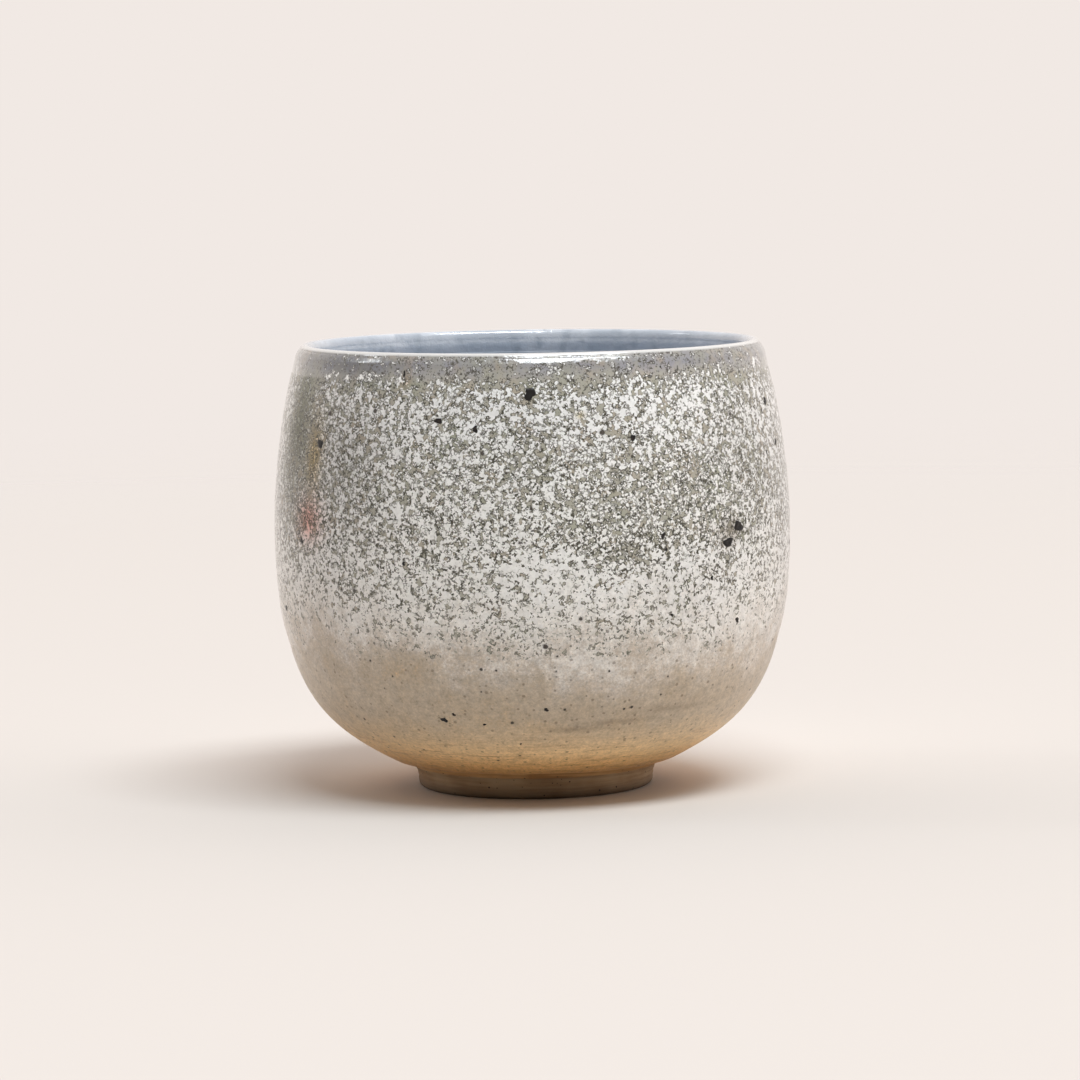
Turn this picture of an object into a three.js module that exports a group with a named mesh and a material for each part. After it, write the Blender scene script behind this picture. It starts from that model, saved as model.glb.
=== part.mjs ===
// A handleless stoneware teacup: a bowl thrown on the wheel, a foot ring turned for it, and the four glaze coats
// that were poured and dipped over the clay before the firing.
// Millimetres, +Z up, origin on the table at the centre of the foot.
import * as THREE from "three";

// Bowl of fired clay, with heights counted from the joint where it stands on the foot ring
const BOWL_HEIGHT = 70.3; // joint to the top of the clay lip
const BELLY_HEIGHT = 40; // where the outside is widest
const BELLY_RADIUS = 42.3;
const LIP_RADIUS = 37.6; // axis to the middle of the lip
const LIP_THICKNESS = 1.8;
const LIP_LEAN = 13; // degrees that the wall leans in at the lip
const WALL = 3.2; // clay at the belly
const FLOOR = 4.2; // clay between the well under the cup and the inside
const JOINT_RADIUS = 20.4; // outer edge of the flat underside
const FLARE = 27; // degrees that the underside climbs where it leaves the joint

// Share of its span that each end of a wall curve runs straight on, which sets how full the curve is
const HAUNCH_FULLNESS = 0.73; // outside, downwards from the belly
const FLARE_FULLNESS = 0.61; // outside, outwards from the joint
const SHOULDER_FULLNESS = 0.35; // upwards from the belly, outside and inside
const LIP_FULLNESS = 0.25; // downwards from the lip, outside and inside
const CORNER_FULLNESS = 0.82; // inside, downwards from the belly
const BASIN_FULLNESS = 0.74; // inside, outwards from the middle of the floor

// Foot ring
const FOOT_HEIGHT = 3.6;
const FOOT_RADIUS = 19.6;
const FOOT_WIDTH = 5; // width of the ring's top
const FOOT_BEVEL = 0.6; // turned edge of the sole, outside and in the well
const WELL_RISE = 1.4; // how far the well is turned up into the bowl, above the joint

// Glaze coats
const BASE_COAT = 0.4; // thin first coat over the outside
const MOTTLED_COAT = 0.3; // second coat, over the upper part of the first
const LIP_COAT = 0.4; // where the rim was dipped
const LINER_COAT = 0.4; // poured inside
const COAT_EDGE = 0.12; // what is left of the second coat at its edges
const BASE_LINE = 1.2; // height above the joint where the first coat was wiped off
const MOTTLED_LINE = 23; // height above the joint that the second coat runs down to
const LIP_BAND = 4; // depth of the dipped rim below the top of the clay, outside
const LIP_BAND_INSIDE = 3; // the same, inside

// Faces
const SEGMENTS = 48; // round the axis
const HAUNCH_STEPS = 8;
const SHOULDER_STEPS = 8;
const BAND_STEPS = 2;
const LIP_STEPS = 6;
const INSIDE_STEPS = 14;

const clay = new THREE.MeshStandardMaterial({ color: 0xb08a5c, roughness: 0.75, metalness: 0 });
const bareFoot = new THREE.MeshStandardMaterial({ color: 0x7d7264, roughness: 0.85, metalness: 0 });
const amberGlaze = new THREE.MeshStandardMaterial({ color: 0xb7a68c, roughness: 0.4, metalness: 0 });
const mottledGlaze = new THREE.MeshStandardMaterial({ color: 0xb9b7ae, roughness: 0.45, metalness: 0 });
const lipGlaze = new THREE.MeshStandardMaterial({ color: 0x9d9b96, roughness: 0.15, metalness: 0 });
const linerGlaze = new THREE.MeshStandardMaterial({ color: 0x7f8c98, roughness: 0.12, metalness: 0 });

// Meridians: curves of radius and height that are turned round the axis

const at = (radius, height) => new THREE.Vector2(radius, height);

const lean = THREE.MathUtils.degToRad(LIP_LEAN);
const acrossLip = at(Math.cos(lean), Math.sin(lean));
const upLip = at(-Math.sin(lean), Math.cos(lean));
const lipMiddle = at(LIP_RADIUS, BOWL_HEIGHT - LIP_THICKNESS / 2);

// The wall from the belly, where it is upright, to one side of the lip.
function shoulder(bellyRadius, side) {
  const belly = at(bellyRadius, BELLY_HEIGHT);
  const lip = lipMiddle.clone().addScaledVector(acrossLip, (side * LIP_THICKNESS) / 2);
  const span = lip.y - belly.y;
  return new THREE.CubicBezierCurve(
    belly,
    at(belly.x, belly.y + SHOULDER_FULLNESS * span),
    lip.clone().addScaledVector(upLip, -LIP_FULLNESS * span),
    lip,
  );
}

// The outside, from the joint round the haunch to the belly.
function haunch() {
  const reach = FLARE_FULLNESS * (BELLY_RADIUS - JOINT_RADIUS);
  return new THREE.CubicBezierCurve(
    at(JOINT_RADIUS, 0),
    at(JOINT_RADIUS + reach, reach * Math.tan(THREE.MathUtils.degToRad(FLARE))),
    at(BELLY_RADIUS, BELLY_HEIGHT * (1 - HAUNCH_FULLNESS)),
    at(BELLY_RADIUS, BELLY_HEIGHT),
  );
}

// The inside, from the middle of the floor round the corner to the belly.
function basin() {
  const radius = BELLY_RADIUS - WALL;
  const floorTop = WELL_RISE + FLOOR;
  return new THREE.CubicBezierCurve(
    at(0, floorTop),
    at(BASIN_FULLNESS * radius, floorTop),
    at(radius, BELLY_HEIGHT - CORNER_FULLNESS * (BELLY_HEIGHT - floorTop)),
    at(radius, BELLY_HEIGHT),
  );
}

function meridian(...curves) {
  const path = new THREE.CurvePath();
  curves.forEach((curve) => path.add(curve));
  return path;
}

const outside = meridian(haunch(), shoulder(BELLY_RADIUS, 1));
const inside = meridian(basin(), shoulder(BELLY_RADIUS - WALL, -1));

// Where along a meridian, from 0 to 1, a height is reached; both meridians climb all the way.
function shareAtHeight(path, height) {
  let low = 0;
  let high = 1;
  for (let halving = 0; halving < 40; halving++) {
    const middle = (low + high) / 2;
    if (path.getPoint(middle).y < height) low = middle;
    else high = middle;
  }
  return high;
}

// Points of a meridian between two shares of it, each moved along its normal, away from the axis, by depth(step).
function stretch(path, [from, to], steps, depth = () => 0) {
  return Array.from({ length: steps + 1 }, (_, step) => {
    const share = THREE.MathUtils.lerp(from, to, step / steps);
    const along = path.getTangent(share);
    return path.getPoint(share).addScaledVector(at(along.y, -along.x), depth(step));
  });
}

// The round of the lip from the outside to the inside, under a coat of some depth.
function lipRound(depth) {
  const radius = LIP_THICKNESS / 2 + depth;
  return Array.from({ length: LIP_STEPS + 1 }, (_, step) => {
    const turn = lean + (Math.PI * step) / LIP_STEPS;
    return lipMiddle.clone().add(at(radius * Math.cos(turn), radius * Math.sin(turn)));
  });
}

const wipedAt = shareAtHeight(outside, BASE_LINE);
const mottledAt = shareAtHeight(outside, MOTTLED_LINE);
const bandAt = shareAtHeight(outside, BOWL_HEIGHT - LIP_BAND);
const bandInsideAt = shareAtHeight(inside, BOWL_HEIGHT - LIP_BAND_INSIDE);

// Each stretch of clay that a coat covers is drawn once here, so that clay and coat share its points.
const always = (depth) => () => depth;
const haunchUnder = (depth) => stretch(outside, [wipedAt, mottledAt], HAUNCH_STEPS, always(depth));
const shoulderUnder = (depth) => stretch(outside, [mottledAt, bandAt], SHOULDER_STEPS, depth);
const bandUnder = (depth) => stretch(outside, [bandAt, 1], BAND_STEPS, always(depth));
const bandInsideUnder = (depth) => stretch(inside, [1, bandInsideAt], BAND_STEPS, always(-depth));
const insideUnder = (depth) => stretch(inside, [bandInsideAt, 0], INSIDE_STEPS, always(-depth));

// Joins stretches end to end, leaving out the point that each shares with the one before.
function joined(...stretches) {
  return stretches.flatMap((points, index) => (index ? points.slice(1) : points));
}

// A coat's section: along the glazed side, and back along the clay side to where it started.
function coatSection(glazedSide, claySide) {
  return [...glazedSide, ...claySide.reverse(), glazedSide[0].clone()];
}

// Pieces

function turned(name, section, material) {
  const geometry = new THREE.LatheGeometry(section, SEGMENTS).rotateX(Math.PI / 2);
  const mesh = new THREE.Mesh(geometry, material);
  mesh.name = name;
  return mesh;
}

const wellRadius = FOOT_RADIUS - FOOT_WIDTH;

// Clay bowl: a flat underside for the ring, the well turned up into it, the outside, the lip and the inside.
function stonewareBowl() {
  const underside = [at(0, WELL_RISE), at(wellRadius, WELL_RISE), at(wellRadius, 0), at(JOINT_RADIUS, 0)];
  const wall = joined(
    stretch(outside, [0, wipedAt], 1),
    haunchUnder(0),
    shoulderUnder(always(0)),
    bandUnder(0),
    lipRound(0),
    bandInsideUnder(0),
    insideUnder(0),
  );
  return turned("stoneware_bowl", joined(underside, wall), clay);
}

// First coat: thin, over the whole outside up to the dipped rim.
function baseGlaze() {
  const glazedSide = joined(haunchUnder(BASE_COAT), shoulderUnder(always(BASE_COAT)));
  const claySide = joined(haunchUnder(0), shoulderUnder(always(0)));
  return turned("base_glaze", coatSection(glazedSide, claySide), amberGlaze);
}

// Second coat: over the upper part of the first, thinned out at both edges.
function mottledCoat() {
  const atEdge = (step) => step === 0 || step === SHOULDER_STEPS;
  const top = (step) => BASE_COAT + (atEdge(step) ? COAT_EDGE : MOTTLED_COAT);
  const section = coatSection(shoulderUnder(top), shoulderUnder(always(BASE_COAT)));
  return turned("mottled_glaze", section, mottledGlaze);
}

// Dipped rim: a cap over the lip, down the outside to the first coat and down the inside to the liner.
function lipCoat() {
  const glazedSide = joined(bandUnder(LIP_COAT), lipRound(LIP_COAT), bandInsideUnder(LIP_COAT));
  const claySide = joined(bandUnder(0), lipRound(0), bandInsideUnder(0));
  return turned("lip_glaze", coatSection(glazedSide, claySide), lipGlaze);
}

// Liner: over the inside, from the dipped rim down to the middle of the floor.
function linerCoat() {
  const section = [...insideUnder(0).reverse(), ...insideUnder(LINER_COAT)];
  return turned("liner_glaze", section, linerGlaze);
}

// Foot ring: its flat top carries the bowl, its sole is flat between two turned edges.
function footRing() {
  const section = [
    at(wellRadius, FOOT_HEIGHT),
    at(wellRadius, FOOT_BEVEL),
    at(wellRadius + FOOT_BEVEL, 0),
    at(FOOT_RADIUS - FOOT_BEVEL, 0),
    at(FOOT_RADIUS, FOOT_BEVEL),
    at(FOOT_RADIUS, FOOT_HEIGHT),
    at(wellRadius, FOOT_HEIGHT),
  ];
  return turned("foot_ring", section, bareFoot);
}

const glazedBowl = new THREE.Group();
glazedBowl.add(stonewareBowl(), baseGlaze(), mottledCoat(), lipCoat(), linerCoat());
glazedBowl.position.z = FOOT_HEIGHT;

const teacup = new THREE.Group();
teacup.add(footRing(), glazedBowl);

export default teacup;
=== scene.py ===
import bmesh
import bpy
import numpy as np
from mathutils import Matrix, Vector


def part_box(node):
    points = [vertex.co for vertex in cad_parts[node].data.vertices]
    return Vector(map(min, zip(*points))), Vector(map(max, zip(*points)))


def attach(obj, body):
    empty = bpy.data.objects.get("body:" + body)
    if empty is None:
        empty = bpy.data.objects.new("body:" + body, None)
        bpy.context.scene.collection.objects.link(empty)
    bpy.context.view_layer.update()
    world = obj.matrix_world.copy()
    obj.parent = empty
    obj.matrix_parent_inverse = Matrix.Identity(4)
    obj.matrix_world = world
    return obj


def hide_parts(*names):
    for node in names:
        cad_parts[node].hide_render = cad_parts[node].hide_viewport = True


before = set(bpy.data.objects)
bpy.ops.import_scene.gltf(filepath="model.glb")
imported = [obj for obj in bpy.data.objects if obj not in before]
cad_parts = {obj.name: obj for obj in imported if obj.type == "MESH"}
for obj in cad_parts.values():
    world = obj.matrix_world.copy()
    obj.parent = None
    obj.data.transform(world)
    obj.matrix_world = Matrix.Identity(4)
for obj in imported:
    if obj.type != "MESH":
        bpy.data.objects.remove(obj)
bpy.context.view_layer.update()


# Foot ring
# The ring that the cup stands on: bare stoneware, cut on the wheel from leather-hard clay with a loop tool.
# It is left unglazed so that it can't fuse to the kiln shelf, and a sponge has rounded its edges.
MM = 0.001
FOOT_WIDTH = 5 * MM
SOLE_ROUND = 1.0 * MM
FLARED = 0.7 * MM
RING_DEPTH = 0.04 * MM
RING_PITCH = 0.9 * MM
JOINT_EDGE = 0.2 * MM
FOOT_COLUMNS = 288
CLAY_GREY = (182, 157, 124)
CLAY_BROWN = (150, 121, 88)
CLAY_GRIT = (58, 48, 38)

foot_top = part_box("foot_ring")[1]
foot_radius = foot_top.x
foot_height = foot_top.z
well_radius = foot_radius - FOOT_WIDTH


def angles(columns):
    """Angles of the columns round the axis: 0 at the front, towards -Y, and growing towards +X."""
    return np.arange(columns) * 2 * np.pi / columns


def shells(name, points):
    """Mesh of closed shells, from points by shell, row and column. In a shell each row is joined to the next
    and the last to the first, as the columns are, and points that meet at a pole are merged."""
    corner = np.arange(points[..., 0].size).reshape(points.shape[:3])
    right = np.roll(corner, -1, axis=2)
    quads = np.stack([corner, right, np.roll(right, -1, axis=1), np.roll(corner, -1, axis=1)], axis=-1)
    mesh = bpy.data.meshes.new(name)
    mesh.from_pydata(points.reshape(-1, 3).tolist(), [], quads.reshape(-1, 4).tolist())
    merge_poles(mesh)
    mesh.shade_smooth()
    piece = bpy.data.objects.new(name, mesh)
    bpy.context.scene.collection.objects.link(piece)
    return piece


def merge_poles(mesh):
    """Joins points that lie in the same place, and drops the edges that are left without a face."""
    shape = bmesh.new()
    shape.from_mesh(mesh)
    bmesh.ops.remove_doubles(shape, verts=shape.verts, dist=1e-7)
    bare = [edge for edge in shape.edges if edge.is_wire]
    bmesh.ops.delete(shape, geom=bare, context="EDGES")
    shape.to_mesh(mesh)
    shape.free()


def round_axis(radius, angle, height):
    """Points (r sin a, -r cos a, z) for a radius, an angle from the front and a height."""
    return np.stack([radius * np.sin(angle), -radius * np.cos(angle), height], axis=-1)


def turned(name, radius, height):
    """Mesh of a closed profile turned round the axis, from two grids with a row per profile point. Column j
    stands at the angle 2 pi j / columns from the front."""
    return shells(name, round_axis(radius, angles(radius.shape[1]), height)[None])


def arc(centre, radius, start, end, count):
    """Points of a circle's arc from one angle to another, in degrees, as (radius, height) pairs."""
    turn = np.radians(np.linspace(start, end, count))
    return np.stack([centre[0] + radius * np.cos(turn), centre[1] + radius * np.sin(turn)], axis=-1)


def run(start, end, count):
    """Points of a straight run, without its last one, as (radius, height) pairs."""
    return np.linspace(start, end, count, endpoint=False)


def node(tree, kind, sockets=None, **options):
    """Adds a shader node. Options are its settings; sockets gives inputs a value or another node's output."""
    made = tree.nodes.new("ShaderNode" + kind)
    for option, value in options.items():
        setattr(made, option, value)
    for socket, value in (sockets or {}).items():
        if isinstance(value, bpy.types.NodeSocket):
            tree.links.new(value, made.inputs[socket])
        else:
            made.inputs[socket].default_value = value
    return made


def calc(tree, operation, first, second=0.0):
    """A sum, product or other operation on two values."""
    return node(tree, "Math", {0: first, 1: second}, operation=operation).outputs[0]


def eased(tree, value, low, high, start=0.0, end=1.0):
    """Goes smoothly from start, where value is low, to end, where it is high."""
    sockets = {"Value": value, "From Min": low, "From Max": high, "To Min": start, "To Max": end}
    return node(tree, "MapRange", sockets, interpolation_type="SMOOTHSTEP").outputs[0]


def mixed(tree, share, first, second):
    """A colour that goes from first to second as share goes from 0 to 1."""
    made = node(tree, "Mix", {0: share, 6: first, 7: second}, data_type="RGBA")
    return made.outputs[2]


def shaded(tree, colour, level):
    """A colour made lighter or darker by a factor."""
    return node(tree, "VectorMath", {0: colour, "Scale": level}, operation="SCALE").outputs[0]


def cloud(tree, place, scale, detail=2.0, roughness=0.5):
    """Soft noise from 0 to 1 whose patches measure about 1 / scale of a millimetre."""
    sockets = {"Vector": place, "Scale": scale, "Detail": detail, "Roughness": roughness}
    return node(tree, "TexNoise", sockets).outputs["Fac"]


def stretched(tree, place, around, upward):
    """The place with its level axes and its height scaled, which draws a noise on it out into streaks."""
    return node(tree, "VectorMath", {0: place, 1: (around, around, upward)}, operation="MULTIPLY").outputs[0]


def fired(red, green, blue):
    """The shader's linear colour for a screen colour from 0 to 255, as it is seen in plain light."""
    screen = np.array([red, green, blue]) / 255
    linear = np.where(screen < 0.04045, screen / 12.92, ((screen + 0.055) / 1.055) ** 2.4)
    return (*linear.tolist(), 1.0)


def new_group(name, inputs, outputs):
    """An empty shader node group with named sockets. Returns it, what it is given and where results go."""
    group = bpy.data.node_groups.new(name, "ShaderNodeTree")
    for socket, kind in inputs.items():
        group.interface.new_socket(socket, in_out="INPUT", socket_type="NodeSocket" + kind)
    for socket, kind in outputs.items():
        group.interface.new_socket(socket, in_out="OUTPUT", socket_type="NodeSocket" + kind)
    return group, group.nodes.new("NodeGroupInput").outputs, group.nodes.new("NodeGroupOutput").inputs


def placed(tree, group, **given):
    """Places a node group in a tree, with what its inputs are given. Returns its outputs."""
    return node(tree, "Group", given, node_tree=group).outputs


def height_at(tree, place):
    """Height of a place above the table, in millimetres."""
    return node(tree, "SeparateXYZ", {0: place}).outputs[2]


def new_finish(name, constants=None):
    """A material with some constants on its Principled shader. Returns it, its node tree, the shader and the
    place in millimetres."""
    finish = bpy.data.materials.new(name)
    finish.use_nodes = True
    tree = finish.node_tree
    tree.nodes.clear()
    shader = node(tree, "BsdfPrincipled", constants)
    node(tree, "OutputMaterial", {"Surface": shader.outputs[0]})
    metres = node(tree, "TexCoord").outputs["Object"]
    place = node(tree, "VectorMath", {0: metres, "Scale": 1 / MM}, operation="SCALE").outputs[0]
    return finish, tree, shader, place


def wear(finish, piece, slot, *nodes):
    """Puts a finish on a piece that stands for CAD nodes and rides with the cup."""
    piece.data.materials.append(finish)
    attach(piece, "root")
    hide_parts(*nodes)


def bump(tree, shader, height, depth):
    """Gives a shader relief, with height from 0 to 1 standing for a depth in millimetres."""
    sockets = {"Height": height, "Distance": depth * MM, "Strength": 1.0}
    tree.links.new(node(tree, "Bump", sockets).outputs[0], shader.inputs["Normal"])


def turning_lines():
    """Group: lines round the axis that loop tool and rib left. Streaks of noise, about 0.4 mm high."""
    group, given, result = new_group("turning_lines", {"Place": "Vector"}, {"Lines": "Float"})
    lines = cloud(group, stretched(group, given["Place"], 0.05, 1.0), 2.6, 3.0, 0.6)
    group.links.new(lines, result["Lines"])
    return group


def iron_specks():
    """Group: tiny specks of iron that bled through. In some cells of a Voronoi pattern a dot shows round the
    cell's point, as large as the cell's random colour sets. Density is the share of cells with a dot."""
    inputs = {"Place": "Vector", "Pitch": "Float", "Density": "Float"}
    group, given, result = new_group("iron_specks", inputs, {"Speck": "Float", "Halo": "Float"})
    often = calc(group, "DIVIDE", 1.0, given["Pitch"])
    cells = node(group, "TexVoronoi", {"Vector": given["Place"], "Scale": often})
    chance = node(group, "SeparateColor", {0: cells.outputs["Color"]}).outputs[0]
    spare = calc(group, "SUBTRACT", chance, calc(group, "SUBTRACT", 1.0, given["Density"]))
    share = calc(group, "DIVIDE", calc(group, "MAXIMUM", spare, 0.0), given["Density"])
    ragged = calc(group, "MULTIPLY", cloud(group, given["Place"], 3.0, 2.0), 0.16)
    reach = calc(group, "SUBTRACT", calc(group, "MULTIPLY", share, 0.34), ragged)
    inside = calc(group, "SUBTRACT", reach, cells.outputs["Distance"])
    group.links.new(eased(group, inside, -0.02, 0.05), result["Speck"])
    group.links.new(eased(group, inside, -0.2, 0.05), result["Halo"])
    return group


TURNING_LINES = turning_lines()
IRON_SPECKS = iron_specks()


def bare_stoneware():
    """Finish of the foot: gritty grey-brown clay, browner in clouds, with turning lines and dark grit. It
    darkens towards the sole, a painted shade that stands in for the contact shadow there."""
    finish, tree, shader, place = new_finish("bare_stoneware", {"Roughness": 0.8})
    lines = placed(tree, TURNING_LINES, Place=place)["Lines"]
    grit = placed(tree, IRON_SPECKS, Place=place, Pitch=0.7, Density=0.5)["Speck"]
    clouds = calc(tree, "ADD", cloud(tree, place, 0.12), calc(tree, "MULTIPLY", lines, 0.5))
    clay = mixed(tree, eased(tree, clouds, 0.55, 1.0), fired(*CLAY_GREY), fired(*CLAY_BROWN))
    clay = mixed(tree, grit, clay, fired(*CLAY_GRIT))
    # Painted shade: darker towards the sole, for the contact shadow under the foot.
    painted_contact_shade = eased(tree, height_at(tree, place), 0.2, foot_height / MM - 0.8, 0.4, 1.0)
    tree.links.new(shaded(tree, clay, painted_contact_shade), shader.inputs["Base Color"])
    grain = calc(tree, "MULTIPLY", cloud(tree, place, 5.0, 3.0, 0.7), 0.5)
    bump(tree, shader, calc(tree, "ADD", grain, lines), 0.12)
    return finish


def foot_section():
    """The ring's closed section: up its outer side, in along the joint, down the well, out along the sole."""
    low = SOLE_ROUND
    outer_edge = arc((foot_radius - low, low), low, -90, 0, 9)
    well_edge = arc((well_radius + low, low), low, 180, 270, 9)
    side = run((foot_radius, low), (foot_radius, foot_height), 14)
    joint = run((foot_radius, foot_height), (well_radius, foot_height), 4)
    well = run((well_radius, foot_height), (well_radius, low), 12)
    sole = run((well_radius + low, 0.0), (foot_radius - low, 0.0), 12)
    return np.vstack([outer_edge[:-1], side, joint, well, well_edge[:-1], sole])


def foot_ring():
    """The section turned round, with the fine rings that the loop tool left on its sides: a sine along the
    height whose phase turns once with the angle. Towards the joint the outer side flares, with the fourth
    power of the height, to run on into the bowl."""
    section = foot_section()
    radius = np.repeat(section[:, :1], FOOT_COLUMNS, axis=1)
    height = np.repeat(section[:, 1:], FOOT_COLUMNS, axis=1)
    on_side = (height > SOLE_ROUND) & (height < foot_height - JOINT_EDGE)
    rings = RING_DEPTH * np.sin(2 * np.pi * height / RING_PITCH + angles(FOOT_COLUMNS))
    flare = FLARED * (height / foot_height) ** 4 * (radius > foot_radius - SOLE_ROUND / 10)
    return turned("foot_ring_turned", radius + on_side * rings + flare, height)


wear(bare_stoneware(), foot_ring(), "bare_foot", "foot_ring")


# Stoneware bowl
# The cup's body, thrown from iron-bearing stoneware: a round belly that draws in to a thin, soft lip.
# Only its underside and a narrow band over the foot are bare, where the fire has toasted the clay amber.
CURVE_STEPS = 240
LIP_RADIUS = 37.6 * MM
LIP_THICKNESS = 1.8 * MM
LIP_LEAN = np.radians(13)
BELLY_RISE = 40 * MM
WALL = 3.2 * MM
FLOOR = 4.2 * MM
JOINT_RADIUS = 20.4 * MM
FLARE = np.radians(27)
FLARE_FULLNESS = 0.61
HAUNCH_FULLNESS = 0.73
SHOULDER_FULLNESS = 0.35
LIP_FULLNESS = 0.25
CORNER_FULLNESS = 0.82
BASIN_FULLNESS = 0.74
WELL_RISE = 1.4 * MM
WELL_DOME = 0.5 * MM
WELL_RIDGE = 0.12 * MM
RIDGE_PITCH = 2.6 * MM
SPIRAL_DEPTH = 0.03 * MM
SPIRAL_PITCH = 6.5 * MM
STRAY_FADE = 10 * MM
BARE_TOP = 8 * MM
COVERED_FROM = 9 * MM
BOWL_COLUMNS = 256
TOAST_AMBER = (222, 180, 126)
TOAST_BROWN = (180, 136, 88)

# Lobes of the lip, which isn't quite round: size, lobes round the cup, phase
LOBES = [(0.12 * MM, 2, 0.6), (0.05 * MM, 3, 2.0)]

bowl_low, bowl_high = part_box("stoneware_bowl")
joint_height = bowl_low.z
clay_top = bowl_high.z
belly_radius = bowl_high.x
belly_height = joint_height + BELLY_RISE


def bezier(start, leaving, arriving, end):
    """A cubic Bezier curve: corners weighted by (1-t)^3, 3(1-t)^2 t, 3(1-t) t^2 and t^3, t from 0 to 1."""
    t = np.linspace(0, 1, CURVE_STEPS)[:, None]
    corners = [np.array(corner) for corner in (start, leaving, arriving, end)]
    weights = [(1 - t) ** 3, 3 * (1 - t) ** 2 * t, 3 * (1 - t) * t**2, t**3]
    return sum(weight * corner for weight, corner in zip(weights, corners))


def shoulder(radius, side):
    """The wall from the belly, where it is upright, to the leaning lip's outer (1) or inner (-1) side."""
    across = np.array([np.cos(LIP_LEAN), np.sin(LIP_LEAN)])
    upward = np.array([-np.sin(LIP_LEAN), np.cos(LIP_LEAN)])
    lip = np.array([LIP_RADIUS, clay_top - LIP_THICKNESS / 2]) + side * LIP_THICKNESS / 2 * across
    span = lip[1] - belly_height
    above_belly = (radius, belly_height + SHOULDER_FULLNESS * span)
    return bezier((radius, belly_height), above_belly, lip - LIP_FULLNESS * span * upward, lip)


def haunch():
    """The outside from the joint, where it flares, up to the belly."""
    reach = FLARE_FULLNESS * (belly_radius - JOINT_RADIUS)
    flared = (JOINT_RADIUS + reach, joint_height + reach * np.tan(FLARE))
    under_belly = (belly_radius, belly_height - HAUNCH_FULLNESS * BELLY_RISE)
    return bezier((JOINT_RADIUS, joint_height), flared, under_belly, (belly_radius, belly_height))


def basin():
    """The inside from the middle of the floor out to the belly."""
    radius = belly_radius - WALL
    floor_top = joint_height + WELL_RISE + FLOOR
    across_floor = (BASIN_FULLNESS * radius, floor_top)
    under_belly = (radius, belly_height - CORNER_FULLNESS * (belly_height - floor_top))
    return bezier((0.0, floor_top), across_floor, under_belly, (radius, belly_height))


outside = np.vstack([haunch(), shoulder(belly_radius, 1)[1:]])
inside = np.vstack([basin(), shoulder(belly_radius - WALL, -1)[1:]])[::-1]
lip_turn = np.degrees(LIP_LEAN)
lip_round = arc((LIP_RADIUS, clay_top - LIP_THICKNESS / 2), LIP_THICKNESS / 2, lip_turn, lip_turn + 180, 60)

# The clay's meridian: one line up the outside, over the lip and down the inside to the middle of the floor
clay_line = np.vstack([outside, lip_round[1:-1], inside])
clay_steps = np.linalg.norm(np.diff(clay_line, axis=0), axis=1)
clay_arc = np.concatenate([[0], np.cumsum(clay_steps)])
clay_slope = np.gradient(clay_line, axis=0)
clay_slope /= np.linalg.norm(clay_slope, axis=1)[:, None]
clay_normal = np.stack([clay_slope[:, 1], -clay_slope[:, 0]], axis=-1)
outside_arc = clay_arc[: len(outside)]
inside_arc = clay_arc[-len(inside):]
floor_arc = clay_arc[-1]


def up_outside(height):
    """How far along the clay's meridian a height is reached on the outside."""
    return np.interp(height, outside[:, 1], outside_arc)


def down_inside(height):
    """How far along the clay's meridian a height is reached on the inside."""
    return np.interp(height, inside[::-1, 1], inside_arc[::-1])


def wavering(angle, *waves):
    """A line that wavers round the cup: a sum of sines, each given as (size, waves round the cup, phase)."""
    return sum(size * np.sin(count * angle + phase) for size, count, phase in waves)


def thrown(angle, height):
    """How far the wall strays from round: two slow lobes that grow towards the lip, and the spiral that the
    fingers left, a sine along the height whose phase turns once with the angle."""
    climb = np.clip(height / clay_top, 0, 1)
    spiral = SPIRAL_DEPTH * np.sin(2 * np.pi * height / SPIRAL_PITCH + angle)
    return climb**2 * wavering(angle, *LOBES) + climb * spiral


def lifted(along, depth, angle):
    """Radius and height of points along the clay's meridian, moved out on its normal by depth and outwards by
    the stray of the throwing, which fades towards the axis. The arguments are arrays, broadcast together."""
    along, depth, angle = np.broadcast_arrays(along, depth, angle)
    radius, height = (np.interp(along, clay_arc, clay_line[:, axis]) for axis in (0, 1))
    outward, upward = (np.interp(along, clay_arc, clay_normal[:, axis]) for axis in (0, 1))
    stray = thrown(angle, height) * np.clip(radius / STRAY_FADE, 0, 1)
    on_axis = radius < 1e-9
    return np.where(on_axis, 0.0, radius + depth * outward + stray), height + depth * upward


def underside(columns):
    """The bowl's flat joint and, inside the ring, the well: a shallow dome, (1 - s^2)^3 of the share s of its
    radius, with a spiral ridge that fades to both ends."""
    share = np.linspace(0, 1, 40)[:, None]
    radius = np.repeat(share * well_radius, columns, axis=1)
    spiral = np.sin(2 * np.pi * radius / RIDGE_PITCH + angles(columns))
    ridge = WELL_RIDGE * spiral * (share * (1 - share) * 4)
    well = joint_height + WELL_RISE + ridge - WELL_DOME * (1 - share**2) ** 3
    edge = np.array([[well_radius, joint_height], [JOINT_RADIUS, joint_height]])
    edge_radius, edge_height = (np.repeat(edge[:, axis, None], columns, axis=1) for axis in (0, 1))
    return np.vstack([radius, edge_radius]), np.vstack([well, edge_height])


def stoneware_bowl():
    """The underside and the whole meridian, from the joint over the lip to the middle of the floor, turned
    round. The rows are finer on the bare band over the foot."""
    under_radius, under_height = underside(BOWL_COLUMNS)
    bare_rows = np.linspace(0, up_outside(BARE_TOP), 30)[1:]
    covered_rows = np.linspace(up_outside(COVERED_FROM), floor_arc, 150)
    along = np.concatenate([bare_rows, covered_rows])[:, None]
    wall_radius, wall_height = lifted(along, 0.0, angles(BOWL_COLUMNS))
    radius = np.vstack([under_radius, wall_radius])
    height = np.vstack([under_height, wall_height])
    return turned("stoneware_bowl_thrown", radius, height)


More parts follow.
